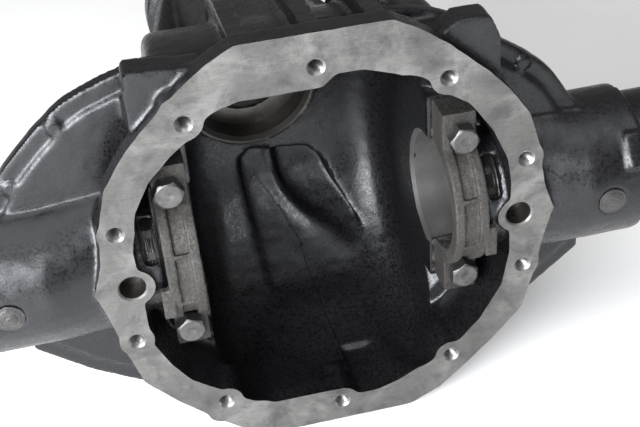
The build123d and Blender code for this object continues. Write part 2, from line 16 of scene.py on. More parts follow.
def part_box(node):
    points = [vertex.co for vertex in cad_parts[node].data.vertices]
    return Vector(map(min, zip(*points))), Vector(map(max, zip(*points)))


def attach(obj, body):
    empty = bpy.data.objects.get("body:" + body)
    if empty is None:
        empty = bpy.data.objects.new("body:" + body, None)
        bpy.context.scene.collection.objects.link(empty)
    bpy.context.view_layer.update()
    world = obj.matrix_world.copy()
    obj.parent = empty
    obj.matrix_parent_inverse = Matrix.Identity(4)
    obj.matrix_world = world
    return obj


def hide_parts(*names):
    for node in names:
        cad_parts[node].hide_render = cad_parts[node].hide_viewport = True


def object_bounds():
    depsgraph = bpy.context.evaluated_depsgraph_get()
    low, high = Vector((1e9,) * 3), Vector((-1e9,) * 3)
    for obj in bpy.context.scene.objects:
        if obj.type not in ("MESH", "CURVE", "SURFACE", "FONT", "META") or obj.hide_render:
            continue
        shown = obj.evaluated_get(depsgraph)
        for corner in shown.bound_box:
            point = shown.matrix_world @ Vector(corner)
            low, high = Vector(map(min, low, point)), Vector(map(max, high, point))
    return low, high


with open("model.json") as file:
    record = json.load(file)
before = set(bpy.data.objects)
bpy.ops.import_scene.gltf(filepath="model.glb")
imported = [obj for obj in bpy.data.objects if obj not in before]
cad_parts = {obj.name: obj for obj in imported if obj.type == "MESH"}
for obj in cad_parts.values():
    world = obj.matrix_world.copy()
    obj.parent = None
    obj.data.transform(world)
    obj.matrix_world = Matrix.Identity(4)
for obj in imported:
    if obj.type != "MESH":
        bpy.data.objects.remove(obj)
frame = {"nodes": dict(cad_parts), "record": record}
cad_low, cad_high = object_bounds()
nodes = frame["nodes"]
mounts = {m["name"]: m for m in frame["record"]["mounts"]}
MM = 0.001

# Where things are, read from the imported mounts
AXLE = Vector(mounts["right_side_bearing_seat"]["pos_m"])
AXLE_Y = AXLE.y
SEAT_R = mounts["right_side_bearing_seat"]["dims"]["r_mm"] * MM
REAR_BORE = mounts["pinion_rear_bearing_bore"]
PINION = Vector(REAR_BORE["pos_m"])
SPREADER_X = mounts["spreader_holes"]["dims"]["spacing_x_mm"] * MM / 2
SPREADER_R = mounts["spreader_holes"]["dims"]["hole_r_mm"] * MM
COVER_R = mounts["cover_bolts_side"]["dims"]["hole_r_mm"] * MM
SIDES = {"left": -1, "right": 1}


def mm(*pairs):
    """Pairs in millimetres, in metres."""
    return [(a * MM, b * MM) for a, b in pairs]


# ---------------------------------------------------------------- mesh helpers
def new_object(name, bm, smooth_angle=None):
    """Turn a bmesh into a linked object, shaded smooth up to smooth_angle degrees."""
    mesh = bpy.data.meshes.new(name)
    bm.to_mesh(mesh)
    bm.free()
    obj = bpy.data.objects.new(name, mesh)
    bpy.context.scene.collection.objects.link(obj)
    if smooth_angle is not None:
        shade(obj, smooth_angle)
    return obj


def shade(obj, smooth_angle):
    """Smooth shading, with edges sharper than smooth_angle degrees kept crisp."""
    mesh = obj.data
    mesh.polygons.foreach_set("use_smooth", [True] * len(mesh.polygons))
    mesh.set_sharp_from_angle(angle=math.radians(smooth_angle))


def turned(axis, centre, profile, name="turned", segments=96, closed=False):
    """Solid of revolution from (distance along axis, radius) pairs. A radius may be a function of the angle,
    for hexagons and threads. A closed profile joins its last ring to its first, which makes a ring."""
    bm = bmesh.new()
    axis = Vector(axis).normalized()
    side = axis.orthogonal().normalized()
    other = axis.cross(side)
    rings = []
    for along, radius in profile:
        middle = Vector(centre) + axis * along
        if not callable(radius) and radius < 1e-9:
            rings.append([bm.verts.new(middle)])
            continue
        ring = []
        for i in range(segments):
            angle = 2 * math.pi * i / segments
            size = radius(angle) if callable(radius) else radius
            ring.append(bm.verts.new(middle + (side * math.cos(angle) + other * math.sin(angle)) * size))
        rings.append(ring)
    pairs = list(zip(rings, rings[1:])) + ([(rings[-1], rings[0])] if closed else [])
    for low, high in pairs:
        for i in range(segments):
            j = (i + 1) % segments
            if len(low) == 1:
                bm.faces.new((low[0], high[j], high[i]))
            elif len(high) == 1:
                bm.faces.new((low[i], low[j], high[0]))
            else:
                bm.faces.new((low[i], low[j], high[j], high[i]))
    bmesh.ops.recalc_face_normals(bm, faces=bm.faces)
    return new_object(name, bm)


def rounded(profile, radius, closed=False):
    """Profile with each corner between plain points replaced by a short arc."""
    points = []
    count = len(profile)
    for i, (along, size) in enumerate(profile):
        ends = not closed and i in (0, count - 1)
        before, after = profile[i - 1], profile[(i + 1) % count]
        if ends or any(callable(p[1]) for p in (before, (along, size), after)):
            points.append((along, size))
            continue
        here = Vector((along, size))
        back, forward = Vector(before) - here, Vector(after) - here
        reach = min(radius, back.length * 0.45, forward.length * 0.45)
        start, end = here + back.normalized() * reach, here + forward.normalized() * reach
        for t in (0, 0.25, 0.5, 0.75, 1):
            p = start * (1 - t) ** 2 + here * 2 * t * (1 - t) + end * t * t
            points.append((p.x, p.y))
    return points


def thread(start, end, major, depth, pitch, steps=6):
    """Rings of a helical V thread between two distances along the axis, fading in and out at its ends."""
    count = max(2, int(abs(end - start) / pitch * steps))
    rings = []
    for i in range(count + 1):
        along = start + (end - start) * i / count
        fade = min(1, 3 * min(i, count - i) / (steps * 1.5))

        def radius(angle, along=along, fade=fade):
            turn = along / pitch - angle / (2 * math.pi)
            return major - depth * fade * abs(2 * (turn - math.floor(turn)) - 1)

        rings.append((along, radius))
    return rings


def hexagon(flats, limit=None):
    """Radius of a hexagon at an angle, optionally cut off by a circle."""
    def radius(angle):
        size = flats / 2 / math.cos((angle + math.pi / 6) % (math.pi / 3) - math.pi / 6)
        return min(size, limit) if limit else size
    return radius


def hex_top(flats, base, top, flat_r):
    """Rings of a hexagonal head from base to a chamfered top that ends flat inside flat_r."""
    direction = 1 if top > base else -1
    corner = flats / math.sqrt(3)
    steps = 5
    rings = [(base, hexagon(flats))]
    for i in range(steps + 1):
        limit = corner + (flat_r - corner) * i / steps
        rings.append((top - direction * (limit - flat_r) * math.tan(math.radians(30)), hexagon(flats, limit)))
    return rings


def join(objects, name):
    """Merge several objects into one, keeping their materials."""
    bm = bmesh.new()
    slots = []
    for obj in objects:
        first = len(bm.faces)
        bm.from_mesh(obj.data)
        bm.faces.ensure_lookup_table()
        mats = list(obj.data.materials)
        slots += [m for m in mats if m not in slots]
        for face in bm.faces[first:]:
            face.material_index = slots.index(mats[face.material_index]) if mats else 0
        bpy.data.objects.remove(obj)
    merged = new_object(name, bm)
    for mat in slots:
        merged.data.materials.append(mat)
    return merged


def finish(obj, body, node, smooth_angle=32):
    """Shade a finished piece and put it in place of its CAD node."""
    shade(obj, smooth_angle)
    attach(obj, body)
    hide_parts(node)
    return obj


def box_object(low, high, name="box"):
    """Closed box between two corners."""
    bm = bmesh.new()
    bmesh.ops.create_cube(bm, size=1)
    low, high = Vector(low), Vector(high)
    for v in bm.verts:
        v.co = Vector([low[i] + (v.co[i] + 0.5) * (high[i] - low[i]) for i in range(3)])
    return new_object(name, bm)


def cut(obj, cutter, solver="MANIFOLD"):
    """Subtract cutter from obj; the cut faces take the cutter's material."""
    mod = obj.modifiers.new("cut", "BOOLEAN")
    mod.operation = "DIFFERENCE"
    mod.object = cutter
    mod.solver = solver
    if solver != "MANIFOLD":
        mod.material_mode = "TRANSFER"
    graph = bpy.context.evaluated_depsgraph_get()
    mesh = bpy.data.meshes.new_from_object(obj.evaluated_get(graph), depsgraph=graph)
    obj.modifiers.clear()
    old = obj.data
    obj.data = mesh
    bpy.data.meshes.remove(old)
    bpy.data.objects.remove(cutter)


def solid_copy(node_name, name):
    """A closed copy of a CAD node's mesh, with the seams between its faces welded."""
    bm = bmesh.new()
    bm.from_mesh(nodes[node_name].data)
    bmesh.ops.remove_doubles(bm, verts=bm.verts, dist=1e-6)
    return new_object(name, bm)


def coords(mesh):
    co = np.empty(len(mesh.vertices) * 3)
    mesh.vertices.foreach_get("co", co)
    return co.reshape(-1, 3)


def set_coords(mesh, co):
    mesh.vertices.foreach_set("co", co.ravel())
    mesh.update()


def voxel_cast(obj, voxel, smooth_steps, factor=0.5):
    """Remesh to an even grid and relax it, which rounds every edge as a sand casting does."""
    mod = obj.modifiers.new("cast", "REMESH")
    mod.mode = "VOXEL"
    mod.voxel_size = voxel
    soft = obj.modifiers.new("soft", "SMOOTH")
    soft.factor = factor
    soft.iterations = smooth_steps
    graph = bpy.context.evaluated_depsgraph_get()
    mesh = bpy.data.meshes.new_from_object(obj.evaluated_get(graph), depsgraph=graph)
    obj.modifiers.clear()
    obj.data = mesh


def soften(obj, low, high, steps):
    """Relax the surface further inside one box, for a feature that the core leaves well rounded."""
    co = coords(obj.data)
    inside = np.minimum(co - np.array(low), np.array(high) - co).min(axis=1)
    group = obj.vertex_groups.new(name="soft")
    for share in (0.35, 1.0):
        picked = (inside > 0) & ((inside > 6 * MM) == (share == 1.0))
        group.add(np.flatnonzero(picked).tolist(), share, "REPLACE")
    soft = obj.modifiers.new("soft", "SMOOTH")
    soft.factor = 0.5
    soft.iterations = steps
    soft.vertex_group = group.name
    graph = bpy.context.evaluated_depsgraph_get()
    mesh = bpy.data.meshes.new_from_object(obj.evaluated_get(graph), depsgraph=graph)
    obj.modifiers.clear()
    obj.vertex_groups.clear()
    obj.data = mesh


def roughen(obj, height, scale, seed=0.0):
    """Move the surface in and out a little, as sand-cast metal is never quite even."""
    mesh = obj.data
    normals = np.empty(len(mesh.vertices) * 3)
    mesh.vertices.foreach_get("normal", normals)
    normals = normals.reshape(-1, 3)
    co = coords(mesh)
    offset = Vector((seed, seed * 1.7, seed * 2.3))
    amount = np.array([noise.noise(Vector(p) / scale + offset) for p in co])
    set_coords(mesh, co + normals * (amount * height)[:, None])


# ---------------------------------------------------------------- materials
def material(name):
    """A node material with its Principled shader, ready to be wired."""
    mat = bpy.data.materials.new(name)
    mat.use_nodes = True
    tree = mat.node_tree
    shader = tree.nodes["Principled BSDF"]
    return mat, tree, shader


def add_node(tree, kind, **values):
    node = tree.nodes.new(kind)
    for key, value in values.items():
        setattr(node, key, value)
    return node


def object_coords(tree, scale=(1, 1, 1), rotation=(0, 0, 0)):
    """Object coordinates through a mapping, so that every pattern is fixed to the piece."""
    coord = add_node(tree, "ShaderNodeTexCoord")
    mapping = add_node(tree, "ShaderNodeMapping")
    mapping.inputs["Scale"].default_value = scale
    mapping.inputs["Rotation"].default_value = rotation
    tree.links.new(coord.outputs["Object"], mapping.inputs["Vector"])
    return mapping.outputs["Vector"]


def noise_node(tree, vector, scale, detail=4.0, roughness=0.6, distortion=0.0):
    node = add_node(tree, "ShaderNodeTexNoise")
    node.inputs["Scale"].default_value = scale
    node.inputs["Detail"].default_value = detail
    node.inputs["Roughness"].default_value = roughness
    node.inputs["Distortion"].default_value = distortion
    tree.links.new(vector, node.inputs["Vector"])
    return node.outputs["Fac"]


def ramp(tree, value, stops):
    """Colour ramp: stops are (position, colour) pairs; a single number means grey."""
    node = add_node(tree, "ShaderNodeValToRGB")
    while len(node.color_ramp.elements) < len(stops):
        node.color_ramp.elements.new(0.5)
    for element, (position, colour) in zip(node.color_ramp.elements, stops):
        element.position = position
        grey = isinstance(colour, (int, float))
        element.color = (colour, colour, colour, 1) if grey else (*colour, 1)
    tree.links.new(value, node.inputs["Fac"])
    return node.outputs["Color"]


def mix(tree, factor, first, second, blend="MIX"):
    node = add_node(tree, "ShaderNodeMix", data_type="RGBA", blend_type=blend)
    for key, value in (("Factor", factor), ("A", first), ("B", second)):
        socket = node.inputs[key]
        if isinstance(value, bpy.types.NodeSocket):
            tree.links.new(value, socket)
        elif isinstance(value, tuple):
            socket.default_value = (*value, 1)
        else:
            socket.default_value = value
    return node.outputs["Result"]


def math_node(tree, operation, first, second=0.0):
    node = add_node(tree, "ShaderNodeMath", operation=operation)
    for socket, value in zip(node.inputs, (first, second)):
        if isinstance(value, bpy.types.NodeSocket):
            tree.links.new(value, socket)
        else:
            socket.default_value = value
    return node.outputs["Value"]


def bump(tree, shader, *layers):
    """Stack bump layers: each is (height output, strength, distance)."""
    previous = None
    for height, strength, distance in layers:
        node = add_node(tree, "ShaderNodeBump")
        node.inputs["Strength"].default_value = strength
        node.inputs["Distance"].default_value = distance
        tree.links.new(height, node.inputs["Height"])
        if previous:
            tree.links.new(previous, node.inputs["Normal"])
        previous = node.outputs["Normal"]
    tree.links.new(previous, shader.inputs["Normal"])


def painted_casting():
    """Black satin paint over a sand-cast surface: fine grain, soft waves, dusty patches."""
    mat, tree, shader = material("black_painted_casting")
    vector = object_coords(tree)
    patches = noise_node(tree, vector, 22, 5, 0.6)
    grain = noise_node(tree, vector, 480, 4, 0.8)
    waves = noise_node(tree, vector, 75, 3, 0.5)
    specks = noise_node(tree, vector, 1100, 2, 0.5)
    base = ramp(tree, patches, [(0.30, (0.0026, 0.0026, 0.0031)), (0.70, (0.0066, 0.0065, 0.0076))])
    grainy = ramp(tree, grain, [(0.35, 0.5), (0.68, 1.5)])
    shade_colour = mix(tree, 1.0, base, grainy, "MULTIPLY")
    tree.links.new(shade_colour, shader.inputs["Base Color"])
    tree.links.new(ramp(tree, grain, [(0.40, 0.24), (0.60, 0.42)]), shader.inputs["Roughness"])
    shader.inputs["Specular IOR Level"].default_value = 0.5
    shader.inputs["Specular Tint"].default_value = (0.94, 0.97, 1.0, 1)
    bump(tree, shader, (waves, 0.3, 0.0009), (grain, 0.5, 0.00035), (specks, 0.4, 0.00012))
    return mat


def machined_face():
    """Face-milled iron: pale warm grey, mottled, with cutter marks, handling stains and small dark pits."""
    mat, tree, shader = material("machined_face")
    vector = object_coords(tree)
    stretched = object_coords(tree, scale=(1, 1, 16), rotation=(0, math.radians(12), 0))
    mottle = noise_node(tree, vector, 26, 6, 0.65, 0.6)
    stains = noise_node(tree, vector, 60, 5, 0.7, 0.4)
    streaks = noise_node(tree, stretched, 90, 4, 0.6)
    pits = noise_node(tree, vector, 900, 2, 0.5)
    colour = ramp(tree, mottle, [
        (0.28, (0.065, 0.064, 0.062)), (0.50, (0.115, 0.113, 0.110)), (0.74, (0.23, 0.226, 0.22))])
    colour = mix(tree, 0.55, colour, ramp(tree, streaks, [(0.3, 0.62), (0.7, 1.12)]), "MULTIPLY")
    colour = mix(tree, 0.7, colour, ramp(tree, stains, [(0.36, 0.55), (0.5, 1.0)]), "MULTIPLY")
    colour = mix(tree, 0.6, colour, ramp(tree, pits, [(0.28, 0.5), (0.4, 1.0)]), "MULTIPLY")
    tree.links.new(colour, shader.inputs["Base Color"])
    shader.inputs["Metallic"].default_value = 0.55
    tree.links.new(ramp(tree, stains, [(0.3, 0.58), (0.7, 0.40)]), shader.inputs["Roughness"])
    bump(tree, shader, (streaks, 0.25, 0.00012), (pits, 0.2, 0.0001))
    return mat


def machined_bore(name, dark, light):
    """Bored iron: satin, with fine rings round the bore."""
    mat, tree, shader = material(name)
    vector = object_coords(tree)
    rings = noise_node(tree, object_coords(tree, scale=(40, 1, 1)), 60, 3, 0.6)
    mottle = noise_node(tree, vector, 40, 5, 0.6)
    colour = ramp(tree, mottle, [(0.3, dark), (0.7, light)])
    tree.links.new(mix(tree, 0.5, colour, ramp(tree, rings, [(0.3, 0.75), (0.7, 1.15)]), "MULTIPLY"),
                   shader.inputs["Base Color"])
    shader.inputs["Metallic"].default_value = 0.85
    tree.links.new(ramp(tree, mottle, [(0.3, 0.42), (0.7, 0.28)]), shader.inputs["Roughness"])
    bump(tree, shader, (rings, 0.2, 0.0001))
    return mat


def cap_iron():
    """Bare as-cast iron: coarse sandy grain with bright high spots."""
    mat, tree, shader = material("bare_cast_iron")
    vector = object_coords(tree)
    grain = noise_node(tree, vector, 900, 5, 0.75)
    coarse = noise_node(tree, vector, 300, 4, 0.7)
    patches = noise_node(tree, vector, 45, 4, 0.6)
    base = ramp(tree, patches, [(0.3, (0.030, 0.028, 0.026)), (0.7, (0.060, 0.057, 0.053))])
    colour = mix(tree, 1.0, base, ramp(tree, grain, [(0.36, 0.5), (0.52, 1.0), (0.7, 1.75)]), "MULTIPLY")
    tree.links.new(colour, shader.inputs["Base Color"])
    shader.inputs["Metallic"].default_value = 0.45
    tree.links.new(ramp(tree, grain, [(0.35, 0.75), (0.7, 0.48)]), shader.inputs["Roughness"])
    bump(tree, shader, (coarse, 0.5, 0.0006), (grain, 0.7, 0.0003))
    return mat


def steel(name, dark, light, roughness, scale=220.0, metallic=0.9):
    """Plain worked steel with slight mottling and fine marks."""
    mat, tree, shader = material(name)
    vector = object_coords(tree)
    mottle = noise_node(tree, vector, scale, 5, 0.65)
    fine = noise_node(tree, vector, scale * 6, 3, 0.6)
    colour = ramp(tree, mottle, [(0.3, dark), (0.7, light)])
    tree.links.new(mix(tree, 0.5, colour, ramp(tree, fine, [(0.3, 0.7), (0.7, 1.2)]), "MULTIPLY"),
                   shader.inputs["Base Color"])
    shader.inputs["Metallic"].default_value = metallic
    satin = ramp(tree, mottle, [(0.3, roughness + 0.1), (0.7, roughness - 0.08)])
    tree.links.new(satin, shader.inputs["Roughness"])
    bump(tree, shader, (mottle, 0.2, 0.0003), (fine, 0.25, 0.00008))
    return mat


def weld_metal():
    """Weld puddle under thin black paint: overlapping ripples."""
    mat, tree, shader = material("painted_weld")
    vector = object_coords(tree)
    ripple = noise_node(tree, vector, 420, 3, 0.6, 1.6)
    patches = noise_node(tree, vector, 120, 4, 0.6)
    tree.links.new(ramp(tree, patches, [(0.3, (0.018, 0.018, 0.020)), (0.72, (0.060, 0.058, 0.056))]),
                   shader.inputs["Base Color"])
    shader.inputs["Metallic"].default_value = 0.3
    tree.links.new(ramp(tree, ripple, [(0.3, 0.5), (0.7, 0.33)]), shader.inputs["Roughness"])
    bump(tree, shader, (ripple, 0.6, 0.0006))
    return mat


def moulded(name, colour, roughness):
    """Moulded rubber or nylon with a fine moulded grain."""
    mat, tree, shader = material(name)
    vector = object_coords(tree)
    grain = noise_node(tree, vector, 1400, 3, 0.6)
    patches = noise_node(tree, vector, 160, 3, 0.5)
    lighter = tuple(c * 1.6 for c in colour)
    tree.links.new(ramp(tree, patches, [(0.3, colour), (0.7, lighter)]), shader.inputs["Base Color"])
    tree.links.new(ramp(tree, grain, [(0.3, roughness), (0.7, roughness + 0.15)]), shader.inputs["Roughness"])
    bump(tree, shader, (grain, 0.25, 0.0001))
    return mat


PAINT = painted_casting()
FACE = machined_face()
BORE = machined_bore("machined_bore", (0.15, 0.15, 0.147), (0.27, 0.267, 0.26))
# A darker copy of the bored-iron material: painted shade for bore walls that lie in shadow (spreader holes
# and pinion bore).
BORE_PAINTED_SHADE = machined_bore("machined_bore_painted_shade", (0.045, 0.043, 0.040), (0.105, 0.10, 0.094))
CAP_IRON = cap_iron()
BOLT_STEEL = steel("bolt_steel", (0.075, 0.075, 0.075), (0.15, 0.148, 0.144), 0.42)
ADJUSTER_STEEL = steel("adjuster_steel", (0.035, 0.034, 0.033), (0.095, 0.092, 0.088), 0.42)
PLUG_STEEL = steel("zinc_plated_steel", (0.34, 0.33, 0.28), (0.52, 0.51, 0.45), 0.36)
WELD = weld_metal()
RUBBER = moulded("gasket_rubber", (0.012, 0.012, 0.012), 0.6)
NYLON = moulded("vent_nylon", (0.014, 0.014, 0.015), 0.45)


# ---------------------------------------------------------------- the housing
STOCK = 3 * MM
CAST_VOXEL = 1.5 * MM
THREAD_START, THREAD_STOP = 95.1 * MM, 107 * MM
PASSAGE_R = 24.2 * MM
THREAD_R = 34.9 * MM
TAP_START, TAP_STOP = 0.0015, 0.0215
TUBE_START = 150 * MM
BOSS_END = {-1: 206 * MM, 1: 195 * MM}
FACE_HALF = 141 * MM
SEAT_IN, SEAT_OUT, SEAT_HALF = 70.5 * MM, 96.2 * MM, 62.5 * MM
FREE = 10 * MM
RECESS_LOW, RECESS_HIGH = Vector((-0.045, 0.070, -0.118)), Vector((0.058, 0.165, -0.008))
RIDGE = [(x * MM, z * MM) for x, z in ((-9, -20), (-8, -41), (-4, -54), (5, -67), (17, -78), (35, -93))]
CAVITY_R = 113 * MM
SEAM = [
    (-0.022, 0.107, -0.034), (-0.013, 0.1015, -0.050), (-0.006, 0.095, -0.061), (0.002, 0.081, -0.079),
    (0.004, 0.058, -0.097), (0.006, 0.036, -0.107), (0.008, 0.005, -0.113), (0.008, -0.020, -0.111),
]
CAP_BOLT_X = 86 * MM
CAP_BOLT_Z = (-49 * MM, 49 * MM)
NOTCHES = 16
TUBE_BORE_R = (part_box("right_axle_tube")[1].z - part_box("right_axle_tube")[0].z) / 2 + 0.2 * MM
PLUG = Vector(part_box("fill_plug")[0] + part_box("fill_plug")[1]) / 2
GASKET_LOW, GASKET_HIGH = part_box("fill_plug_gasket")


def cover_holes():
    """Centres of the ten tapped cover holes, from the three bolt patterns."""
    points = []
    for name in ("cover_bolts_diagonal", "cover_bolts_side", "cover_bolts_top_bottom"):
        dims = mounts[name]["dims"]
        half_x = dims.get("spacing_x_mm", 0) * MM / 2
        half_z = dims.get("spacing_y_mm", 0) * MM / 2
        points += [(sx * half_x, sz * half_z) for sx in ((-1, 1) if half_x else (0,)) for sz in (-1, 1)]
    return points


def machined_cutters():
    """Every cutter that makes a machined surface, with the material that it leaves."""
    cutters = [(box_object((-FACE_HALF, -0.05, -0.2), (FACE_HALF, 0, 0.2)), FACE)]

    def bore(axis, centre, profile, segments, mat):
        cutters.append((turned(axis, centre, profile, segments=segments), mat))

    for x, z in cover_holes():
        bore((0, 1, 0), (x, 0, z), [
            (-FREE, 0), (-FREE, COVER_R + 1.5 * MM), (-0.2 * MM, COVER_R + 1.5 * MM),
            (1.3 * MM, COVER_R - 0.1 * MM),
            *thread(TAP_START, TAP_STOP, COVER_R + 0.35 * MM, 0.6 * MM, 1.25 * MM, 4),
            (TAP_STOP + 2 * MM, 0)], 40, BORE)
    for sign in SIDES.values():
        # The walls of the spreader holes take the darker bore material: painted shade inside the holes.
        bore((0, 1, 0), (sign * SPREADER_X, 0, 0), [
            (-FREE, 0), (-FREE, SPREADER_R), (14.5 * MM, SPREADER_R), (14.5 * MM, 0)], 64, BORE_PAINTED_SHADE)
        bore((0, 1, 0), (sign * SPREADER_X, 0, 0), [
            (-FREE, 0), (-FREE, SPREADER_R + 1.2 * MM), (-0.2 * MM, SPREADER_R + 1.2 * MM),
            (1.2 * MM, SPREADER_R - 0.2 * MM), (1.2 * MM, 0)], 64, FACE)
        bore((sign, 0, 0), (0, AXLE_Y, 0), [
            (60 * MM, 0), (60 * MM, SEAT_R + 3.2 * MM), (70.5 * MM, SEAT_R + 3.2 * MM),
            (73.3 * MM, SEAT_R + 0.1 * MM), (THREAD_START, SEAT_R + 0.1 * MM),
            (THREAD_START, THREAD_R - 0.4 * MM),
            *thread(THREAD_START + 0.4 * MM, THREAD_STOP, THREAD_R, 0.8 * MM, 2 * MM, 6),
            (THREAD_STOP, PASSAGE_R), (TUBE_START + 1 * MM, PASSAGE_R), (TUBE_START + 1 * MM, 0)], 144, BORE)
        end = BOSS_END[sign]
        bore((sign, 0, 0), (0, AXLE_Y, 0), [
            (TUBE_START, 0), (TUBE_START, TUBE_BORE_R), (end - 0.5 * MM, TUBE_BORE_R),
            (end + 4 * MM, TUBE_BORE_R + 4.5 * MM), (end + 4 * MM, 0)], 128, BORE)
        near, far = sorted((sign * SEAT_IN, sign * SEAT_OUT))
        cutters.append((box_object((near, 12 * MM, -SEAT_HALF), (far, AXLE_Y, SEAT_HALF)), FACE))
        for z in CAP_BOLT_Z:
            bore((0, 1, 0), (sign * CAP_BOLT_X, AXLE_Y, z), mm(
                (-1, 0), (-1, 7.6), (4.5, 7.6), (4.5, 5.7), (38, 5.7), (41, 0)), 40, BORE)
    # The pinion bore takes the darker bore material: painted shade on its walls.
    bore((0, 1, 0), (PINION.x, 0, PINION.z), mm(
        (100, 0), (100, 47.8), (143.6, 47.8), (143.6, 44.2), (146.2, 41.5), (162.6, 41.5), (162.6, 29.2),
        (171.4, 29.2), (171.4, 38.4), (226.6, 38.4), (226.6, 29.2), (235.4, 29.2), (235.4, 34.3),
        (257.5, 34.3), (257.5, 38.2), (270.5, 38.2), (272.2, 40), (300, 40), (300, 0)), 160, BORE_PAINTED_SHADE)
    bore((0, 1, 0), (PLUG.x, GASKET_LOW.y, PLUG.z), mm(
        (-50, 0), (-50, 11.2), (-1, 11.2), (0, 12.2), (0, 17), (30, 17), (30, 0)), 64, BORE)
    return cutters


def seam(casting):
    """Irregular raised line where two core halves met on the back wall and the floor of the cavity."""
    bm = bmesh.new()
    bm.from_mesh(casting.data)
    surface = BVHTree.FromBMesh(bm)
    bm.free()
    path = []
    for (x0, y0, z0), (x1, y1, z1) in zip(SEAM, SEAM[1:]):
        for i in range(24):
            t = i / 24
            x, y, z = x0 + (x1 - x0) * t, y0 + (y1 - y0) * t, z0 + (z1 - z0) * t
            wander = 0.5 * MM * noise.noise(Vector((x, y, z)) * 300)
            hit = surface.ray_cast(Vector((x + wander, AXLE_Y, 0)), Vector((0, y, z)).normalized())[0]
            path.append(hit)
    bm = bmesh.new()
    rings = []
    sides = 6
    for i, p in enumerate(path):
        ahead = (path[min(i + 1, len(path) - 1)] - path[max(i - 1, 0)]).normalized()
        inward = (Vector((p.x, AXLE_Y, 0)) - p).normalized()
        across = ahead.cross(inward)
        size = (0.75 + 0.45 * noise.noise(p * 900)) * MM
        rings.append([bm.verts.new(p + (across * math.cos(a) + inward * math.sin(a)) * size)
                      for a in (2 * math.pi * k / sides for k in range(sides))])
    for low, high in zip(rings, rings[1:]):
        for k in range(sides):
            bm.faces.new((low[k], low[(k + 1) % sides], high[(k + 1) % sides], high[k]))
    bm.faces.new(rings[0])
    bm.faces.new(rings[-1][::-1])
    bmesh.ops.recalc_face_normals(bm, faces=bm.faces)
    obj = new_object("seam", bm)
    obj.data.materials.append(PAINT)
    return obj



def shape_recess(obj):
    """Let the oil recess run out towards its lower edge, and raise a ridge along the deeper pocket."""
    co = coords(obj.data)
    radius = np.hypot(co[:, 1] - AXLE_Y, co[:, 2])
    inside = ((np.abs(co[:, 0] - 8 * MM) < 40.5 * MM) & (co[:, 1] > RECESS_LOW.y) & (co[:, 2] > -112 * MM)
              & (co[:, 2] < -18 * MM) & (radius > CAVITY_R + 0.1 * MM) & (radius < CAVITY_R + 15.5 * MM))
    t = np.clip((-35 * MM - co[:, 2]) / (55 * MM), 0, 1)
    depth = (radius - CAVITY_R) * (1 - 0.65 * t * t * (3 - 2 * t))
    distance = np.full(len(co), 1.0)
    for (x0, z0), (x1, z1) in zip(RIDGE, RIDGE[1:]):
        along = np.clip(((co[:, 0] - x0) * (x1 - x0) + (co[:, 2] - z0) * (z1 - z0))
                        / ((x1 - x0) ** 2 + (z1 - z0) ** 2), 0, 1)
        distance = np.minimum(distance, np.hypot(co[:, 0] - x0 - along * (x1 - x0),
                                                 co[:, 2] - z0 - along * (z1 - z0)))
    depth -= np.minimum(2.4 * MM * np.exp(-(distance / (4 * MM)) ** 2), depth * 0.5)
    scale = np.where(inside, (CAVITY_R + depth) / radius, 1)
    co[:, 1] = AXLE_Y + (co[:, 1] - AXLE_Y) * scale
    co[:, 2] *= scale
    set_coords(obj.data, co)


def housing():
    """The casting: rounded and slightly uneven all over, then machined."""
    obj = solid_copy("center_housing", "housing_casting")
    co = coords(obj.data)
    co[np.abs(co[:, 1]) < 2e-5, 1] = -STOCK
    set_coords(obj.data, co)
    voxel_cast(obj, CAST_VOXEL, 4)
    shape_recess(obj)
    soften(obj, RECESS_LOW, RECESS_HIGH, 22)
    soften(obj, RECESS_LOW, Vector((RECESS_HIGH.x, RECESS_HIGH.y, -0.070)), 90)
    roughen(obj, 0.22 * MM, 7 * MM)
    core_line = seam(obj)
    for mat in (PAINT, FACE, BORE, BORE_PAINTED_SHADE):
        obj.data.materials.append(mat)
    for cutter, mat in machined_cutters():
        cutter.data.materials.append(mat)
        cut(obj, cutter)
    obj = join([obj, core_line], "housing_casting")
    finish(obj, "housing", "center_housing")


# ---------------------------------------------------------------- caps, bolts, dowels and adjusters
def bearing_cap(side, sign):
    """Rough cast cap: rounded like the housing, then bored, faced and spot-faced."""
    node = f"{side}_bearing_cap"
    low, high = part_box(node)
    obj = solid_copy(node, f"{side}_cap")
    co = coords(obj.data)
    co[np.abs(co[:, 1] - AXLE_Y) < 2e-5, 1] += 2 * MM
    set_coords(obj.data, co)
    voxel_cast(obj, 0.75 * MM, 2)
    roughen(obj, 0.22 * MM, 2.6 * MM, 3.0 + sign)
    roughen(obj, 0.10 * MM, 1.1 * MM, 7.0 + sign)
    for mat in (CAP_IRON, FACE, BORE):
        obj.data.materials.append(mat)
    parting = box_object(
        (low.x - FREE, AXLE_Y, low.z - FREE), (high.x + FREE, AXLE_Y + 2 * FREE, high.z + FREE))
    cutters = [(parting, FACE)]
    inner, outer = 74.5 * MM, 95 * MM
    cutters.append((turned((sign, 0, 0), (0, AXLE_Y, 0), [
        (inner - 3 * MM, 0), (inner - 3 * MM, SEAT_R + 3.5 * MM), (inner + 1.2 * MM, SEAT_R),
        (outer + FREE, SEAT_R), (outer + FREE, 0)], segments=144), BORE))
    for z in CAP_BOLT_Z:
        cutters.append((turned((0, 1, 0), (sign * CAP_BOLT_X, 0, z), mm(
            (0, 0), (0, 9.2), (20.02, 9.2), (20.02, 6.1), (35, 6.1), (35, 7.56), (50, 7.56), (50, 0)),
            segments=48), BOLT_STEEL))
    for cutter, mat in cutters:
        cutter.data.materials.append(mat)
        cut(obj, cutter)
    finish(obj, f"{side}_cap", node)


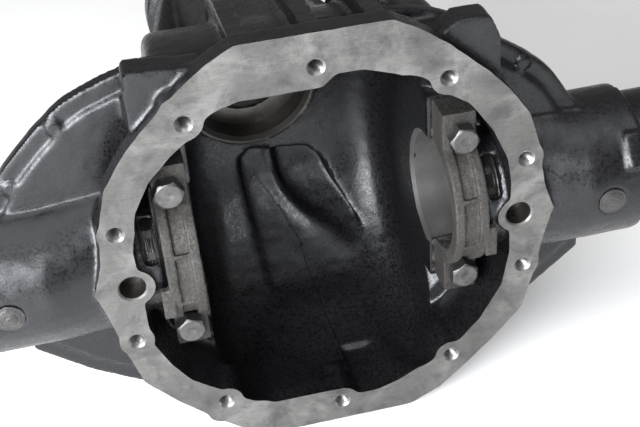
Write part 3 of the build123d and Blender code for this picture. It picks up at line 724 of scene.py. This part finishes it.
def cap_bolt(side, level):
    """Hex cap screw with a washer face, a chamfered head with a shallow dimple, and a helical thread."""
    node = f"{side}_cap_bolt_{level}"
    low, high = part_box(node)
    centre = (low + high) / 2
    top, seat, tip = low.y, 20 * MM, high.y
    flats = high.x - low.x - 0.4 * MM
    dimple = mm((0.5, 0), (0.45, 1.6), (0.1, 2.6), (0, 3.2), (0, 6.6))
    profile = [(top + depth, radius) for depth, radius in dimple]
    profile += hex_top(flats, seat - 1.2 * MM, top, 7.2 * MM)[::-1]
    profile += rounded([
        (seat - 1.2 * MM, 8.2 * MM), (seat, 8.2 * MM), (seat, 5.6 * MM), (seat + 0.8 * MM, 5.2 * MM),
        (seat + 14 * MM, 5.2 * MM)], 0.25 * MM)
    profile += thread(seat + 15 * MM, tip - 1.5 * MM, 5.48 * MM, 0.75 * MM, 1.5 * MM)
    profile += [(tip - 0.1 * MM, 4.2 * MM), (tip, 4.0 * MM), (tip, 0)]
    obj = turned((0, 1, 0), (centre.x, 0, centre.z), profile, f"{side}_{level}_bolt", segments=72)
    turn = {"left": 10, "right": 22}[side] + (25 if level == "lower" else 0)
    spin = Matrix.Translation((centre.x, 0, centre.z)) @ Matrix.Rotation(math.radians(turn), 4, "Y")
    obj.data.transform(spin @ Matrix.Translation((-centre.x, 0, -centre.z)))
    obj.data.materials.append(BOLT_STEEL)
    finish(obj, f"{side}_{level}_bolt", node, 28)


def cap_dowels(side, sign):
    """Two ring dowels with eased rims."""
    rings = []
    for z in CAP_BOLT_Z:
        profile = rounded(mm((-4.5, 6.02), (-4.5, 7.5), (4.5, 7.5), (4.5, 6.02)), 0.5 * MM, closed=True)
        ring = turned((0, 1, 0), (sign * CAP_BOLT_X, AXLE_Y, z), profile, segments=48, closed=True)
        ring.data.materials.append(BOLT_STEEL)
        rings.append(ring)
    finish(join(rings, f"{side}_dowels"), "housing", f"{side}_cap_dowels")


def adjuster(side, sign):
    """Threaded ring with notches round its rim."""
    node = f"{side}_bearing_adjuster"
    low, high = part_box(node)
    start, end = sorted((abs(low.x), abs(high.x)))
    major, bore = (high.z - low.z) / 2, 27 * MM
    ease = 0.8 * MM
    profile = [
        (start, bore + ease), (start, major - 2 * ease),
        *thread(start + ease, end - ease, major, 0.9 * MM, 2 * MM),
        (end, major - 2 * ease), (end, bore + ease), (end - ease, bore), (start + ease, bore)]
    obj = turned((sign, 0, 0), (0, AXLE_Y, 0), profile, f"{side}_adjuster", segments=144, closed=True)
    obj.data.materials.append(ADJUSTER_STEEL)
    middle = sign * (start + end) / 2
    for i in range(NOTCHES):
        angle = 2 * math.pi * i / NOTCHES
        notch = box_object((-2.5 * MM, -3 * MM, -2.5 * MM), (2.5 * MM, 3 * MM, 2.5 * MM))
        place = Vector((middle, AXLE_Y + major * math.cos(angle), major * math.sin(angle)))
        notch.data.transform(Matrix.Translation(place) @ Matrix.Rotation(angle, 4, "X"))
        notch.data.materials.append(ADJUSTER_STEEL)
        cut(obj, notch)
    finish(obj, f"{side}_adjuster", node)


# ---------------------------------------------------------------- tubes, welds, plug and vent
def axle_tube(side, sign):
    """Drawn tube with a bevelled end: paint outside, bare steel inside and on the bevel."""
    node = f"{side}_axle_tube"
    low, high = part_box(node)
    start, end = sorted((abs(low.x), abs(high.x)))
    outer = (high.z - low.z) / 2
    inner = outer - 6.5 * MM
    bevel = 3 * MM
    profile = rounded([
        (start, inner), (start, outer), (end - bevel, outer), (end, outer - bevel), (end, inner)],
        0.5 * MM, closed=True)
    obj = turned((sign, 0, 0), (0, AXLE_Y, 0), profile, f"{side}_tube", segments=160, closed=True)
    for mat in (PAINT, PLUG_STEEL):
        obj.data.materials.append(mat)
    for face in obj.data.polygons:
        centre = face.center
        radius = math.hypot(centre.y - AXLE_Y, centre.z)
        face.material_index = int(radius < outer - 0.3 * MM)
    finish(obj, "housing", node)


def plug_welds(side, sign):
    """Domed puddle welds with ripples, one for each hole in the boss."""
    node = f"{side}_tube_plug_welds"
    low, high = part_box(node)
    centre_x = (low.x + high.x) / 2
    deep, face, radius = 39 * MM, 45.6 * MM, 8 * MM
    puddles = []
    for out in ((0, -1, 0), (0, 1, 0), (0, 0, -1)):
        rings = [(deep, 0), (deep, radius - 0.1 * MM), (face - 0.2 * MM, radius)]
        steps = 16
        for i in range(steps):
            t = i / steps
            dome = 1.7 * MM * (1 - (1 - t) ** 2) + 0.16 * MM * math.sin(t * 24)
            rings.append((face + dome * 0.8, radius * 1.06 * (1 - t)))
        rings.append((face + 1.3 * MM, 0))
        puddle = turned(out, (centre_x, AXLE_Y, 0), rings, segments=56)
        roughen(puddle, 0.35 * MM, 3 * MM, 11.0 + sign)
        puddle.data.materials.append(WELD)
        puddles.append(puddle)
    finish(join(puddles, f"{side}_welds"), "housing", node, 60)


def fill_plug():
    """Hex plug with a washer collar, a chamfered head and a thread."""
    low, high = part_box("fill_plug")
    seat = GASKET_HIGH.y
    profile = [(low.y, 0), (low.y, 9 * MM), (low.y + 1 * MM, 10.2 * MM)]
    profile += thread(low.y + 1.5 * MM, seat - 2.5 * MM, 10.95 * MM, 0.8 * MM, 1.5 * MM)
    profile += rounded([
        (seat - 1.5 * MM, 10 * MM), (seat, 10 * MM), (seat, 15 * MM), (seat + 3 * MM, 15 * MM),
        (seat + 3 * MM, 12.8 * MM)], 0.4 * MM)
    profile += hex_top(22 * MM, seat + 3 * MM, high.y, 10 * MM)
    profile += [(high.y, 5 * MM), (high.y - 0.8 * MM, 4 * MM), (high.y - 0.8 * MM, 0)]
    obj = turned((0, 1, 0), (PLUG.x, 0, PLUG.z), profile, "fill_plug_hex", segments=96)
    obj.data.materials.append(PLUG_STEEL)
    finish(obj, "fill_plug_body", "fill_plug", 28)


def gasket():
    """Flat rubber ring with eased edges, just clear of the plug that turns on it."""
    top = GASKET_HIGH.y - 0.05 * MM
    profile = rounded([(GASKET_LOW.y, 11.4 * MM), (GASKET_LOW.y, 14.5 * MM), (top, 14.5 * MM),
                       (top, 11.4 * MM)], 0.5 * MM, closed=True)
    obj = turned((0, 1, 0), (PLUG.x, 0, PLUG.z), profile, "plug_gasket", segments=96, closed=True)
    obj.data.materials.append(RUBBER)
    finish(obj, "housing", "fill_plug_gasket")


def vent():
    """Hollow vent stem and the moulded cap that snaps over its neck."""
    low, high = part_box("vent_fitting")
    centre = (low + high) / 2
    seat = low.z + 12 * MM
    profile = rounded(mm(
        (-12, 1.5), (-12, 4.5), (0, 4.5), (0, 8), (6, 8), (6, 3.5), (10, 3.5), (11, 5), (13, 5), (15, 3.5),
        (15, 1.5)), 0.4 * MM, closed=True)
    stem = turned((0, 0, 1), (centre.x, centre.y, seat), profile, "vent_stem", segments=64, closed=True)
    stem.data.materials.append(PLUG_STEEL)
    finish(stem, "housing", "vent_fitting")
    low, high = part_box("vent_cap")
    outer = rounded(mm((0, 4.2), (0, 8.5), (11, 8.5), (12, 7.5), (12, 0)), 0.6 * MM)
    cap = turned((0, 0, 1), (centre.x, centre.y, low.z), outer, "vent_cap_outer", segments=64)
    cap.data.materials.append(NYLON)
    bm = bmesh.new()
    bm.from_mesh(cap.data)
    bmesh.ops.holes_fill(bm, edges=bm.edges)
    bm.to_mesh(cap.data)
    bm.free()
    hollow = turned((0, 0, 1), (centre.x, centre.y, low.z), mm(
        (-1, 0), (-1, 4.3), (1.4, 4.2), (2, 5.5), (8.5, 5.5), (8.5, 0)), segments=64)
    hollow.data.materials.append(NYLON)
    cut(cap, hollow)
    finish(cap, "vent_cap_body", "vent_cap")


housing()
for side, sign in SIDES.items():
    bearing_cap(side, sign)
    cap_bolt(side, "upper")
    cap_bolt(side, "lower")
    cap_dowels(side, sign)
    adjuster(side, sign)
    axle_tube(side, sign)
    plug_welds(side, sign)
fill_plug()
gasket()
vent()


# ---------------------------------------------------------------- floor, light and camera
def floor():
    """Plain pale floor under the lowest point."""
    bm = bmesh.new()
    bmesh.ops.create_grid(bm, x_segments=1, y_segments=1, size=4)
    obj = new_object("floor", bm)
    obj.location = (0, 0, cad_low.z - 0.002)
    mat, tree, shader = material("pale_floor")
    shader.inputs["Base Color"].default_value = (0.93, 0.93, 0.93, 1)
    shader.inputs["Roughness"].default_value = 0.9
    obj.data.materials.append(mat)


def area_light(name, place, target, size, power, colour=(1, 1, 1)):
    """Soft rectangular light aimed at target."""
    light = bpy.data.lights.new(name, "AREA")
    light.shape = "RECTANGLE"
    light.size, light.size_y = size
    light.energy = power
    light.color = colour
    obj = bpy.data.objects.new(name, light)
    bpy.context.scene.collection.objects.link(obj)
    obj.location = place
    obj.rotation_euler = (Vector(target) - Vector(place)).to_track_quat("-Z", "Y").to_euler()


def camera():
    """Camera at the viewing angle: azimuth, height and roll in degrees, distance in metres."""
    azimuth, height, roll = math.radians(-10.2), math.radians(35.25), math.radians(-4.8)
    distance, target = 0.675, Vector((-0.0044, 0, 0.0273))
    level = math.cos(height)
    back = Vector((math.sin(azimuth) * level, -math.cos(azimuth) * level, math.sin(height)))
    right = (-back).cross(Vector((0, 0, 1))).normalized()
    up = right.cross(-back)
    tilted_right = right * math.cos(roll) + up * math.sin(roll)
    tilted_up = up * math.cos(roll) - right * math.sin(roll)
    data = bpy.data.cameras.new("camera")
    data.lens = 67.2
    data.sensor_width = 36
    data.clip_start = 0.01
    obj = bpy.data.objects.new("camera", data)
    bpy.context.scene.collection.objects.link(obj)
    obj.matrix_world = Matrix.Translation(target + back * distance) @ Matrix(
        (tilted_right, tilted_up, back)).transposed().to_4x4()
    bpy.context.scene.camera = obj


def studio():
    """White surroundings, a broad light overhead, a softbox on the left and a small one in front."""
    world = bpy.data.worlds.new("studio")
    bpy.context.scene.world = world
    world.use_nodes = True
    world.node_tree.nodes["Background"].inputs["Color"].default_value = (1, 1, 1, 1)
    world.node_tree.nodes["Background"].inputs["Strength"].default_value = 0.22
    area_light("overhead", (-0.15, -0.20, 1.5), (0, 0.1, 0), (2.2, 1.3), 20)
    area_light("left", (-0.82, -0.80, 0.38), (0, 0.02, 0), (0.75, 0.65), 42, (0.97, 0.98, 1.0))
    area_light("front", (-0.25, -1.08, 0.62), (-0.1, 0, 0), (0.35, 0.3), 7, (0.97, 0.98, 1.0))
    bpy.context.scene.view_settings.view_transform = "Standard"


floor()
studio()
camera()
